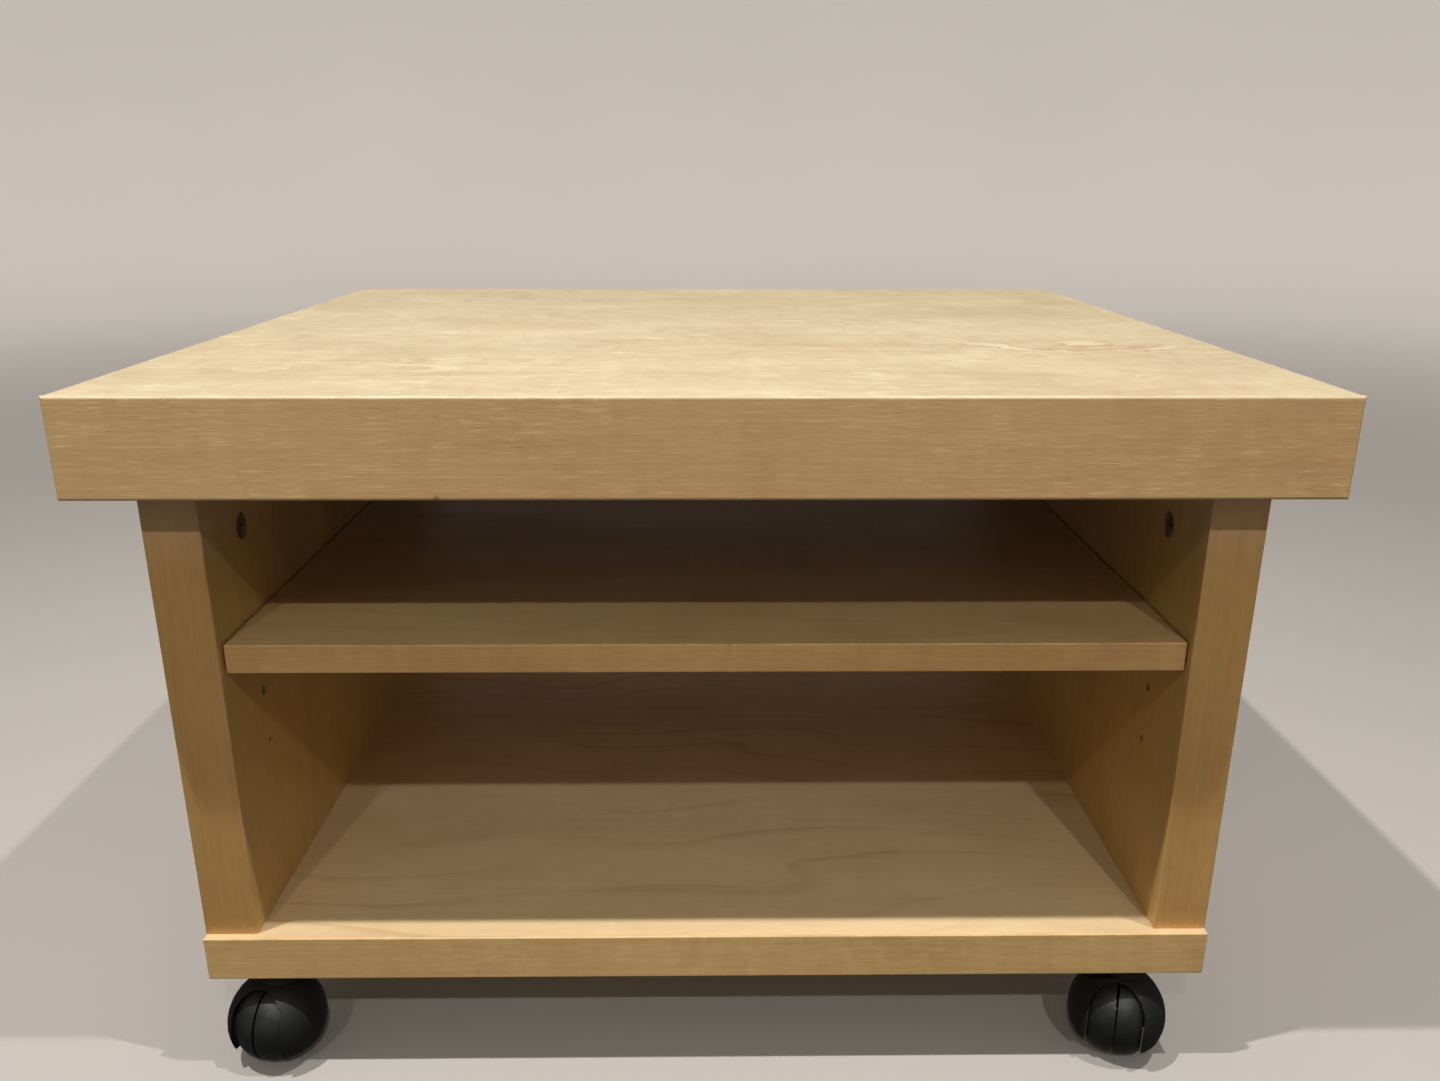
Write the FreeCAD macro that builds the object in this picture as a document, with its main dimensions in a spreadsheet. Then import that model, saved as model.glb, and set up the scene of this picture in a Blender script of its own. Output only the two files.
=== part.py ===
import FreeCAD, Part

import math
import os

import Sketcher

# Low rolling bench: a thick veneered top on two side panels, a bottom board on four swivel casters
# and one loose shelf between the panels.
# Frame: millimetres, +Z up, origin on the floor under the centre of the top, front towards -Y.

SIZES = [
    ("top_length", 600),
    ("top_depth", 507),
    ("top_thick", 49),
    ("top_skin", 4),
    ("top_rail_width", 70),
    ("honeycomb_columns", 6),
    ("honeycomb_rows", 11),
    ("honeycomb_flat_share", 0.29),
    ("card_thick", 0.8),
    ("lipping", 2),
    ("lipping_round", 1.5),
    ("band_round", 0.7),
    ("overhang", 24),
    ("side_height", 254),
    ("side_thick", 28.5),
    ("veneer", 0.8),
    ("edge_band", 1),
    ("bottom_thick", 26),
    ("bottom_lip", 4.7),
    ("shelf_thick", 15.6),
    ("shelf_drop", 84.3),
    ("shelf_setback", 4.7),
    ("shelf_end_gap", 1.3),
    ("fitting_setback", 49),
    ("cam_drop", 34),
    ("cam_hole_dia", 15),
    ("cam_hole_depth", 18.5),
    ("cam_dia", 14.6),
    ("cam_length", 17.5),
    ("cam_cross_length", 9),
    ("cam_cross_width", 2.2),
    ("cam_cross_depth", 2),
    ("bolt_dia", 6),
    ("bolt_neck_dia", 4),
    ("bolt_head_dia", 7),
    ("bolt_depth", 14),
    ("bolt_hole_dia", 7.4),
    ("bolt_flange", 1.5),
    ("bolt_bevel", 1),
    ("bore_spare", 1),
    ("dowel_dia", 8),
    ("dowel_length", 30),
    ("dowel_chamfer", 1),
    ("dowel_setback", 145),
    ("screw_dia", 5),
    ("screw_length", 50),
    ("screw_head_dia", 10),
    ("screw_head_height", 4),
    ("screw_head_edge", 0.6),
    ("screw_recess", 0.4),
    ("hex_key", 4),
    ("hex_depth", 2),
    ("screw_setback", 100),
    ("pin_pitch", 32),
    ("pin_first_drop", 98),
    ("pin_dia", 5),
    ("pin_hole_depth", 11),
    ("pin_length", 10),
    ("support_plate", 1.1),
    ("support_tongue", 1.6),
    ("support_reach", 13),
    ("support_width", 10),
    ("support_rise", 5),
    ("caster_height", 62),
    ("caster_inset_x", 32),
    ("caster_inset_y", 33),
    ("caster_trail", 17),
    ("plate_size", 46),
    ("plate_thick", 2),
    ("plate_corner", 6),
    ("plate_hole_dia", 4.6),
    ("plate_hole_pitch", 33),
    ("collar_dia", 25),
    ("collar_height", 2.5),
    ("mount_screw_dia", 4),
    ("mount_screw_length", 15),
    ("mount_screw_point", 3),
    ("mount_screw_head_dia", 8),
    ("mount_screw_head_height", 2.2),
    ("mount_screw_head_edge", 0.5),
    ("mount_screw_head_bevel", 1.2),
    ("cross_slot_length", 4),
    ("cross_slot_width", 0.9),
    ("cross_slot_depth", 1.2),
    ("kingpin_dia", 8),
    ("kingpin_end", 47.5),
    ("kingpin_bevel", 0.8),
    ("kingpin_hole_spare", 0.5),
    ("kingpin_flange_dia", 12),
    ("kingpin_flange_height", 0.9),
    ("running_gap", 0.05),
    ("face_gap", 0.3),
    ("wheel_dia", 48),
    ("wheel_slit", 1.4),
    ("wheel_half_width", 14.6),
    ("wheel_face_recess", 1.6),
    ("wheel_face_slope", 0.8),
    ("wheel_hub_dia", 13),
    ("wheel_rim_width", 2.4),
    ("axle_dia", 6),
    ("axle_end_chamfer", 0.6),
    ("axle_end_wall", 2),
    ("axle_end_gap", 0.2),
    ("axle_fit", 0.02),
    ("hood_outer_dia", 54),
    ("hood_inner_dia", 49.8),
    ("hood_neck_dia", 20),
    ("hood_shoulder_dia", 37),
    ("hood_shoulder_rise", 8),
    ("hood_shoulder_shift", 6),
    ("hood_bottom", 13),
    ("hood_slot_half_width", 15.4),
    ("hood_slot_top", 68),
    ("hood_boss_dia", 13),
    ("hood_boss_wall", 1.2),
]

doc = FreeCAD.newDocument("rolling_bench")
sheet = doc.addObject("Spreadsheet::Sheet", "Sizes")
for row, (word, value) in enumerate(SIZES, start=1):
    sheet.set(f"A{row}", word)
    sheet.set(f"B{row}", str(value))
    sheet.setAlias(f"B{row}", word)
doc.recompute()

size = {word: float(sheet.get(word)) for word, value in SIZES}

# Heights of the horizontal faces, as formulas of the sheet's cells.
BOTTOM_UNDER = "Sizes.caster_height"
BOTTOM_TOP = f"({BOTTOM_UNDER} + Sizes.bottom_thick)"
TOP_UNDER = f"({BOTTOM_TOP} + Sizes.side_height)"
SHELF_TOP = f"({TOP_UNDER} - Sizes.shelf_drop)"
SHELF_UNDER = f"({SHELF_TOP} - Sizes.shelf_thick)"
CAM_LEVEL = f"({TOP_UNDER} - Sizes.cam_drop)"
PIN_LEVEL = f"({TOP_UNDER} - Sizes.pin_first_drop)"

# Half widths and half depths of the boards.
SIDE_OUTER = "(Sizes.top_length / 2 - Sizes.overhang)"
SIDE_INNER = f"({SIDE_OUTER} - Sizes.side_thick)"
SIDE_MIDDLE = f"({SIDE_OUTER} - Sizes.side_thick / 2)"
SIDE_HALF_DEPTH = "(Sizes.top_depth / 2 - Sizes.overhang)"
BOTTOM_HALF_DEPTH = f"({SIDE_HALF_DEPTH} + Sizes.bottom_lip)"
SHELF_HALF_DEPTH = f"({SIDE_HALF_DEPTH} - Sizes.shelf_setback)"
SHELF_HALF_LENGTH = f"({SIDE_INNER} - Sizes.shelf_end_gap)"
FITTING_Y = f"({SIDE_HALF_DEPTH} - Sizes.fitting_setback)"
DOWEL_Y = f"({SIDE_HALF_DEPTH} - Sizes.dowel_setback)"
SCREW_Y = f"({SIDE_HALF_DEPTH} - Sizes.screw_setback)"
SWIVEL_X = f"({SIDE_OUTER} - Sizes.caster_inset_x)"
SWIVEL_Y = f"({BOTTOM_HALF_DEPTH} - Sizes.caster_inset_y)"

SIDES = {"left": -1, "right": 1}
ENDS = {"front": -1, "back": 1}

# Each caster's turn about its swivel axis at rest, in degrees: 0 trails straight to the front.
CASTER_TURN = {
    ("front", "left"): -14,
    ("front", "right"): -22,
    ("back", "left"): -17,
    ("back", "right"): -20,
}

# Lengths under this count as equal.
TINY = 1e-6

nodes = []


def value_of(formula):
    """The number, in millimetres, that a formula of the sheet's cells gives."""
    result = sheet.evalExpression(formula)
    return float(getattr(result, "Value", result))


def signed(sign, formula):
    """The formula on the side that sign (-1 or 1) names."""
    return f"{sign} * {formula}"


def bind(item, **formulas):
    """Ties properties of an object to formulas of the sheet."""
    for name, formula in formulas.items():
        item.setExpression(name, formula)


def bind_place(item, x="0", y="0", z="0"):
    """Ties the object's position to formulas of the sheet."""
    for axis, formula in (("x", x), ("y", y), ("z", z)):
        item.setExpression(f"Placement.Base.{axis}", formula)


def keep(item, label):
    """Names a finished sub-part, which becomes a node."""
    item.Label = label
    nodes.append(item)
    return item


# ---- building blocks -------------------------------------------------------------------------


def block(name, x, y, z):
    """A board or strip: x, y and z are pairs of formulas, low and high."""
    box = doc.addObject("Part::Box", name)
    spans = {"Length": x, "Width": y, "Height": z}
    for side, (low, high) in spans.items():
        bind(box, **{side: f"({high}) - ({low})"})
    bind_place(box, x[0], y[0], z[0])
    return box


def rod(name, diameter, length, x, y, z, turn=None):
    """A round bar or a drill. Its axis starts at x, y, z and runs along +Z, or turn's direction."""
    bar = doc.addObject("Part::Cylinder", name)
    bind(bar, Radius=f"({diameter}) / 2", Height=length)
    if turn:
        bar.Placement = FreeCAD.Placement(FreeCAD.Vector(), turn)
    bind_place(bar, x, y, z)
    return bar


def drilled(name, solid, drills):
    """The solid less all the drills."""
    tool = drills[0]
    if len(drills) > 1:
        tool = doc.addObject("Part::MultiFuse", f"{name}_drills")
        tool.Shapes = drills
    cut = doc.addObject("Part::Cut", name)
    cut.Base = solid
    cut.Tool = tool
    return cut


def joined(name, solids):
    """One solid out of several that overlap or share faces."""
    fuse = doc.addObject("Part::MultiFuse", name)
    fuse.Shapes = solids
    fuse.Refine = True
    return fuse


def group(label, pieces):
    """Identical pieces that share a node and stay separate solids."""
    compound = doc.addObject("Part::Compound", f"{label}_group")
    compound.Links = pieces
    return keep(compound, label)


def round_edges(name, solid, radius, wanted):
    """The solid with the edges that wanted(edge) picks rounded to the radius."""
    doc.recompute()
    fillet = doc.addObject("Part::Fillet", name)
    fillet.Base = solid
    amount = value_of(radius)
    fillet.Edges = [
        (number, amount, amount)
        for number, edge in enumerate(solid.Shape.Edges, start=1)
        if wanted(edge)
    ]
    return fillet


ALONG_X = FreeCAD.Rotation(FreeCAD.Vector(0, 1, 0), 90)
AGAINST_X = FreeCAD.Rotation(FreeCAD.Vector(0, 1, 0), -90)
DOWNWARD = FreeCAD.Rotation(FreeCAD.Vector(1, 0, 0), 180)


def outward(sign):
    """The turn that points a rod's axis away from the middle on that side."""
    return ALONG_X if sign > 0 else AGAINST_X


# ---- sketch helpers --------------------------------------------------------------------------


def new_body(name):
    return doc.addObject("PartDesign::Body", name)


def new_sketch(body, name, role):
    """A sketch on one of the body's own origin planes."""
    sketch = body.newObject("Sketcher::SketchObject", name)
    plane = next(item for item in body.Origin.OriginFeatures if item.Role == role)
    sketch.AttachmentSupport = [(plane, "")]
    sketch.MapMode = "FlatFace"
    return sketch


def tie_point(sketch, line, end, formulas):
    """Holds one end of a line at the place that two formulas give."""
    for kind, axis, formula in (("DistanceX", -2, formulas[0]), ("DistanceY", -1, formulas[1])):
        amount = value_of(formula)
        if abs(amount) < TINY:
            sketch.addConstraint(Sketcher.Constraint("PointOnObject", line, end, axis))
            continue
        number = sketch.addConstraint(Sketcher.Constraint(kind, -1, 1, line, end, amount))
        sketch.setExpression(f"Constraints[{number}]", formula)


def arc_through(start, finish, radius):
    """An arc from start to finish that turns clockwise, and whether its own ends are swapped."""
    chord = finish - start
    rise = math.sqrt(radius ** 2 - chord.Length ** 2 / 4)
    normal = FreeCAD.Vector(chord.y, -chord.x, 0).normalize()
    centre = (start + finish) * 0.5 + normal * rise
    circle = Part.Circle(centre, FreeCAD.Vector(0, 0, 1), radius)
    low = math.atan2(finish.y - centre.y, finish.x - centre.x)
    high = math.atan2(start.y - centre.y, start.x - centre.x)
    if high < low:
        high += 2 * math.pi
    return Part.ArcOfCircle(circle, low, high)


def outline(sketch, points, rounds=None):
    """A closed outline. rounds maps a point's number to the radius of a clockwise arc to the next."""
    rounds = rounds or {}
    places = [FreeCAD.Vector(value_of(x), value_of(y), 0) for x, y in points]
    count = len(points)
    ends = []
    for number, start in enumerate(places):
        finish = places[(number + 1) % count]
        if number in rounds:
            arc = arc_through(start, finish, value_of(rounds[number]))
            ends.append((sketch.addGeometry(arc), 2, 1))
        else:
            ends.append((sketch.addGeometry(Part.LineSegment(start, finish)), 1, 2))
    for number, (item, first, last) in enumerate(ends):
        following, next_first, next_last = ends[(number + 1) % count]
        sketch.addConstraint(Sketcher.Constraint("Coincident", item, last, following, next_first))
        tie_point(sketch, item, first, points[number])
        if number in rounds:
            radius = value_of(rounds[number])
            tie = sketch.addConstraint(Sketcher.Constraint("Radius", item, radius))
            sketch.setExpression(f"Constraints[{tie}]", rounds[number])


def ring(sketch, x, y, diameter):
    """A circle at x, y with its diameter, all as formulas."""
    centre = FreeCAD.Vector(value_of(x), value_of(y), 0)
    radius = value_of(diameter) / 2
    item = sketch.addGeometry(Part.Circle(centre, FreeCAD.Vector(0, 0, 1), radius))
    tie_point(sketch, item, 3, (x, y))
    tie = sketch.addConstraint(Sketcher.Constraint("Diameter", item, 2 * radius))
    sketch.setExpression(f"Constraints[{tie}]", diameter)


def pad(body, sketch, length, both_ways=False):
    feature = body.newObject("PartDesign::Pad", f"{sketch.Name}_pad")
    feature.Profile = sketch
    feature.Midplane = both_ways
    bind(feature, Length=length)
    return feature


def pocket(body, sketch, depth, away=False):
    feature = body.newObject("PartDesign::Pocket", f"{sketch.Name}_pocket")
    feature.Profile = sketch
    feature.Reversed = away
    bind(feature, Length=depth)
    return feature


def revolve(body, sketch, axis):
    """Turns the sketch round its own H_Axis or V_Axis."""
    feature = body.newObject("PartDesign::Revolution", f"{sketch.Name}_turned")
    feature.Profile = sketch
    feature.ReferenceAxis = (sketch, [axis])
    feature.Angle = 360
    return feature


def turned(name, points, rounds=None):
    """A piece turned about its own +Z axis: each point is (radius, height)."""
    body = new_body(name)
    sketch = new_sketch(body, f"{name}_profile", "XZ_Plane")
    outline(sketch, points, rounds)
    revolve(body, sketch, "V_Axis")
    return body


# ---- top: a hollow slab, two skins on a rail frame with a honeycomb core ----------------------


def make_top():
    half_x = "(Sizes.top_length / 2)"
    half_y = "(Sizes.top_depth / 2)"
    inner_x = f"({half_x} - Sizes.lipping)"
    inner_y = f"({half_y} - Sizes.lipping)"
    upper = f"({TOP_UNDER} + Sizes.top_thick)"
    frame_low = f"({TOP_UNDER} + Sizes.top_skin)"
    frame_high = f"({upper} - Sizes.top_skin)"
    rail = "Sizes.top_rail_width"
    span_x = (f"-{inner_x}", inner_x)
    span_y = (f"-{inner_y}", inner_y)
    between_x = (f"-({inner_x} - {rail})", f"{inner_x} - {rail}")
    between_y = (f"-({inner_y} - {rail})", f"{inner_y} - {rail}")
    frame_z = (frame_low, frame_high)

    keep(block("upper_skin_board", span_x, span_y, (frame_high, upper)), "top_upper_skin")
    skin = block("lower_skin_board", span_x, span_y, (TOP_UNDER, frame_low))
    keep(drilled("lower_skin_cut", skin, top_drills("lower_skin")), "top_lower_skin")

    for end, sign in ENDS.items():
        strip = sorted_span(sign, f"{inner_y} - {rail}", inner_y)
        keep(block(f"{end}_rail_bar", between_x, strip, frame_z), f"top_{end}_rail")
    for side, sign in SIDES.items():
        strip = sorted_span(sign, f"{inner_x} - {rail}", inner_x)
        bar = block(f"{side}_rail_bar", strip, span_y, frame_z)
        drills = top_drills(f"{side}_rail", sides={side: sign})
        keep(drilled(f"{side}_rail_cut", bar, drills), f"top_{side}_rail")
    make_honeycomb(between_x, between_y, frame_z)

    full_z = (TOP_UNDER, upper)
    for end, sign in ENDS.items():
        strip = sorted_span(sign, inner_y, half_y)
        bar = block(f"{end}_lipping_bar", (f"-{half_x}", half_x), strip, full_z)
        rounded = soften(bar, f"{end}_lipping", "y", sign, "xz", "Sizes.lipping_round")
        keep(rounded, f"top_{end}_lipping")
    for side, sign in SIDES.items():
        strip = sorted_span(sign, inner_x, half_x)
        bar = block(f"{side}_lipping_bar", strip, span_y, full_z)
        rounded = soften(bar, f"{side}_lipping", "x", sign, "y", "Sizes.lipping_round")
        keep(rounded, f"top_{side}_lipping")


def make_honeycomb(span_x, span_y, span_z):
    """Folded card ribbons that touch along their flats and so make hexagonal cells."""
    left, right = [value_of(formula) for formula in span_x]
    front, back = [value_of(formula) for formula in span_y]
    low, high = [value_of(formula) for formula in span_z]
    columns = int(size["honeycomb_columns"])
    rows = int(size["honeycomb_rows"])
    period = (right - left) / columns
    pitch = (back - front) / rows
    flat = size["honeycomb_flat_share"] * period
    rise = pitch - size["card_thick"]
    ribbons = []
    for row_number in range(rows):
        levels = (0, rise) if row_number % 2 == 0 else (rise, 0)
        line = [(left, levels[0])]
        for column in range(columns):
            start = left + column * period
            line.append((start + flat / 2, levels[0]))
            line.append((start + period / 2 - flat / 2, levels[1]))
            line.append((start + period / 2 + flat / 2, levels[1]))
            line.append((start + period - flat / 2, levels[0]))
        line.append((right, levels[0]))
        base = front + row_number * pitch
        near = [FreeCAD.Vector(x, base + y, low) for x, y in line]
        far = [FreeCAD.Vector(x, base + y + size["card_thick"], low) for x, y in reversed(line)]
        face = Part.Face(Part.makePolygon(near + far + near[:1]))
        ribbon = doc.addObject("Part::Feature", f"card_ribbon_{row_number + 1}")
        ribbon.Shape = face.extrude(FreeCAD.Vector(0, 0, high - low))
        ribbons.append(ribbon)
    group("top_honeycomb_core", ribbons)


def sorted_span(sign, near, far):
    """The pair of formulas for a strip from near to far of the middle, on the side of sign."""
    return (near, far) if sign > 0 else (f"-({far})", f"-({near})")


def soften(bar, name, face, sign, along, radius):
    """Rounds the edges of a strip's outer face, on the side of sign, that run along the named axes."""
    doc.recompute()
    box = bar.Shape.BoundBox
    limits = {"x": (box.XMin, box.XMax), "y": (box.YMin, box.YMax)}
    outer = limits[face][0 if sign < 0 else 1]

    def wanted(edge):
        run = edge.BoundBox
        lengths = {"x": run.XLength, "y": run.YLength, "z": run.ZLength}
        on_face = abs(getattr(edge.CenterOfMass, face) - outer) < TINY
        return on_face and max(lengths, key=lengths.get) in along

    return round_edges(f"{name}_rounded", bar, radius, wanted)


def top_drills(name, sides=SIDES):
    """Holes that the cam bolts and the upper dowels need in the underside of the top."""
    drills = []
    for side, sign in sides.items():
        x = signed(sign, SIDE_MIDDLE)
        for end, way in ENDS.items():
            tag = f"{name}_{side}_{end}"
            bolt_dia = "Sizes.bolt_dia + 2 * Sizes.running_gap"
            bolt_y = signed(way, FITTING_Y)
            drills.append(rod(f"{tag}_bolt_drill", bolt_dia, "Sizes.bolt_depth + Sizes.bore_spare",
                              x, bolt_y, TOP_UNDER))
            dowel_dia = "Sizes.dowel_dia + 2 * Sizes.running_gap"
            dowel_y = signed(way, DOWEL_Y)
            depth = "Sizes.dowel_length / 2 + Sizes.bore_spare"
            drills.append(rod(f"{tag}_dowel_drill", dowel_dia, depth, x, dowel_y, TOP_UNDER))
    return drills


# ---- side panels: core, two veneers and two edge bands ----------------------------------------


def make_sides():
    height = (BOTTOM_TOP, TOP_UNDER)
    board_y = f"({SIDE_HALF_DEPTH} - Sizes.edge_band)"
    span_y = (f"-{board_y}", board_y)
    for side, sign in SIDES.items():
        inner = f"({SIDE_INNER} + Sizes.veneer)"
        outer = f"({SIDE_OUTER} - Sizes.veneer)"
        core = block(f"{side}_core_board", sorted_span(sign, inner, outer), span_y, height)
        drills = face_drills(f"{side}_core", side, sign) + edge_drills(f"{side}_core", side, sign)
        keep(drilled(f"{side}_core_cut", core, drills), f"{side}_side_core")
        sheet_in = block(f"{side}_inner_sheet", sorted_span(sign, SIDE_INNER, inner), span_y, height)
        drills = face_drills(f"{side}_inner", side, sign)
        keep(drilled(f"{side}_inner_cut", sheet_in, drills), f"{side}_side_inner_veneer")
        span_x = sorted_span(sign, outer, SIDE_OUTER)
        keep(block(f"{side}_outer_sheet", span_x, span_y, height), f"{side}_side_outer_veneer")
        for end, way in ENDS.items():
            strip = sorted_span(way, board_y, SIDE_HALF_DEPTH)
            full_x = sorted_span(sign, SIDE_INNER, SIDE_OUTER)
            bar = block(f"{side}_{end}_band_strip", full_x, strip, height)
            rounded = soften(bar, f"{side}_{end}_band", "y", way, "z", "Sizes.band_round")
            keep(rounded, f"{side}_side_{end}_band")


def face_drills(name, side, sign):
    """Cam holes and the rows of shelf support holes, bored from the panel's inner face."""
    drills = []
    x = signed(sign, SIDE_INNER)
    turn = outward(sign)
    for end, way in ENDS.items():
        tag = f"{name}_{end}"
        y = signed(way, FITTING_Y)
        drills.append(rod(f"{tag}_cam_drill", "Sizes.cam_hole_dia", "Sizes.cam_hole_depth",
                          x, y, CAM_LEVEL, turn))
        for number in range(3):
            level = f"{PIN_LEVEL} - {number} * Sizes.pin_pitch"
            drills.append(rod(f"{tag}_pin_drill_{number + 1}", "Sizes.pin_dia + 2 * Sizes.running_gap",
                              "Sizes.pin_hole_depth", x, y, level, turn))
    return drills


def edge_drills(name, side, sign):
    """Holes in the panel's upper and lower edges for cam bolts, dowels and bottom screws."""
    drills = []
    x = signed(sign, SIDE_MIDDLE)
    dowel_dia = "Sizes.dowel_dia + 2 * Sizes.running_gap"
    dowel_depth = "Sizes.dowel_length / 2 + Sizes.bore_spare"
    screw_dia = "Sizes.screw_dia + 2 * Sizes.running_gap"
    screw_depth = "Sizes.screw_length - Sizes.bottom_thick + Sizes.bore_spare"
    for end, way in ENDS.items():
        tag = f"{name}_{end}"
        fitting_y = signed(way, FITTING_Y)
        dowel_y = signed(way, DOWEL_Y)
        screw_y = signed(way, SCREW_Y)
        drills.append(rod(f"{tag}_bolt_bore", "Sizes.bolt_hole_dia", "Sizes.cam_drop",
                          x, fitting_y, CAM_LEVEL))
        drills.append(rod(f"{tag}_upper_dowel_bore", dowel_dia, dowel_depth,
                          x, dowel_y, f"{TOP_UNDER} - ({dowel_depth})"))
        drills.append(rod(f"{tag}_lower_dowel_bore", dowel_dia, dowel_depth, x, dowel_y, BOTTOM_TOP))
        drills.append(rod(f"{tag}_screw_bore", screw_dia, screw_depth, x, screw_y, BOTTOM_TOP))
    return drills


# ---- bottom board: core, two veneers and four edge bands --------------------------------------


def make_bottom():
    board_x = f"({SIDE_OUTER} - Sizes.edge_band)"
    board_y = f"({BOTTOM_HALF_DEPTH} - Sizes.edge_band)"
    span_x = (f"-{board_x}", board_x)
    span_y = (f"-{board_y}", board_y)
    low = f"({BOTTOM_UNDER} + Sizes.veneer)"
    high = f"({BOTTOM_TOP} - Sizes.veneer)"
    layers = {
        "bottom_core": (low, high),
        "bottom_upper_veneer": (high, BOTTOM_TOP),
        "bottom_lower_veneer": (BOTTOM_UNDER, low),
    }
    for label, height in layers.items():
        board = block(f"{label}_board", span_x, span_y, height)
        keep(drilled(f"{label}_cut", board, bottom_drills(label)), label)
    full_z = (BOTTOM_UNDER, BOTTOM_TOP)
    for end, way in ENDS.items():
        strip = sorted_span(way, board_y, BOTTOM_HALF_DEPTH)
        bar = block(f"bottom_{end}_strip", (f"-{SIDE_OUTER}", SIDE_OUTER), strip, full_z)
        rounded = soften(bar, f"bottom_{end}_band", "y", way, "xz", "Sizes.band_round")
        keep(rounded, f"bottom_{end}_band")
    for side, sign in SIDES.items():
        strip = sorted_span(sign, board_x, SIDE_OUTER)
        bar = block(f"bottom_{side}_strip", strip, span_y, full_z)
        rounded = soften(bar, f"bottom_{side}_band", "x", sign, "y", "Sizes.band_round")
        keep(rounded, f"bottom_{side}_band")


def bottom_drills(name):
    """Bores for the screws and dowels under the side panels, and pilots for the caster screws."""
    drills = []
    dowel_dia = "Sizes.dowel_dia + 2 * Sizes.running_gap"
    dowel_depth = "Sizes.dowel_length / 2 + Sizes.bore_spare"
    for side, sign in SIDES.items():
        x = signed(sign, SIDE_MIDDLE)
        for end, way in ENDS.items():
            tag = f"{name}_{end}_{side}"
            screw_y = signed(way, SCREW_Y)
            drills.append(rod(f"{tag}_screw_bore", "Sizes.screw_dia + 2 * Sizes.running_gap",
                              "Sizes.bottom_thick", x, screw_y, BOTTOM_UNDER))
            drills.append(rod(f"{tag}_screw_sink", "Sizes.screw_head_dia + Sizes.face_gap",
                              "Sizes.screw_head_height + Sizes.screw_recess", x, screw_y, BOTTOM_UNDER))
            drills.append(rod(f"{tag}_dowel_bore", dowel_dia, dowel_depth,
                              x, signed(way, DOWEL_Y), f"{BOTTOM_TOP} - ({dowel_depth})"))
            for number, (hole_x, hole_y) in enumerate(plate_holes(sign, way), start=1):
                drills.append(rod(f"{tag}_pilot_{number}", "Sizes.mount_screw_dia + 2 * Sizes.running_gap",
                                  "Sizes.mount_screw_length", hole_x, hole_y, BOTTOM_UNDER))
    return drills


def plate_holes(sign, way):
    """The four screw places of one caster plate."""
    places = []
    for step_x in (-1, 1):
        for step_y in (-1, 1):
            x = f"{signed(sign, SWIVEL_X)} + {step_x} * Sizes.plate_hole_pitch / 2"
            y = f"{signed(way, SWIVEL_Y)} + {step_y} * Sizes.plate_hole_pitch / 2"
            places.append((x, y))
    return places


# ---- shelf: a thin veneered board that lies loose on its supports ------------------------------


def make_shelf():
    board_y = f"({SHELF_HALF_DEPTH} - Sizes.edge_band)"
    span_x = (f"-{SHELF_HALF_LENGTH}", SHELF_HALF_LENGTH)
    span_y = (f"-{board_y}", board_y)
    low = f"({SHELF_UNDER} + Sizes.veneer)"
    high = f"({SHELF_TOP} - Sizes.veneer)"
    keep(block("shelf_core_board", span_x, span_y, (low, high)), "shelf_core")
    keep(block("shelf_upper_sheet", span_x, span_y, (high, SHELF_TOP)), "shelf_upper_veneer")
    keep(block("shelf_lower_sheet", span_x, span_y, (SHELF_UNDER, low)), "shelf_lower_veneer")
    for end, way in ENDS.items():
        strip = sorted_span(way, board_y, SHELF_HALF_DEPTH)
        bar = block(f"shelf_{end}_strip", span_x, strip, (SHELF_UNDER, SHELF_TOP))
        rounded = soften(bar, f"shelf_{end}_band", "y", way, "x", "Sizes.band_round")
        keep(rounded, f"shelf_{end}_band")


# ---- joinery fittings --------------------------------------------------------------------------


def make_cam_locks():
    """Round cams with a crosshead slot in the face and a channel for the bolt's head."""
    pieces = []
    for side, sign in SIDES.items():
        for end, way in ENDS.items():
            tag = f"cam_{side}_{end}"
            y = signed(way, FITTING_Y)
            face = f"({SIDE_INNER} + Sizes.cam_hole_depth - Sizes.cam_length)"
            body = rod(f"{tag}_round", "Sizes.cam_dia", "Sizes.cam_length",
                       signed(sign, face), y, CAM_LEVEL, outward(sign))
            channel_x = (f"{signed(sign, SIDE_MIDDLE)} - Sizes.bolt_hole_dia / 2",
                         f"{signed(sign, SIDE_MIDDLE)} + Sizes.bolt_hole_dia / 2")
            channel = block(f"{tag}_channel", channel_x,
                            (f"{y} - Sizes.bolt_hole_dia / 2", f"{y} + Sizes.bolt_hole_dia / 2"),
                            (f"{CAM_LEVEL} - Sizes.bolt_hole_dia / 2", f"{CAM_LEVEL} + Sizes.cam_dia"))
            slots = [channel]
            for number, (wide, tall) in enumerate(
                    (("cam_cross_length", "cam_cross_width"), ("cam_cross_width", "cam_cross_length")),
                    start=1):
                depth = sorted_span(sign, f"{face} - Sizes.cam_cross_depth",
                                    f"{face} + Sizes.cam_cross_depth")
                slots.append(block(f"{tag}_cross_{number}", depth,
                                   (f"{y} - Sizes.{wide} / 2", f"{y} + Sizes.{wide} / 2"),
                                   (f"{CAM_LEVEL} - Sizes.{tall} / 2", f"{CAM_LEVEL} + Sizes.{tall} / 2")))
            pieces.append(drilled(f"{tag}_piece", body, slots))
    group("cam_locks", pieces)


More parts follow.
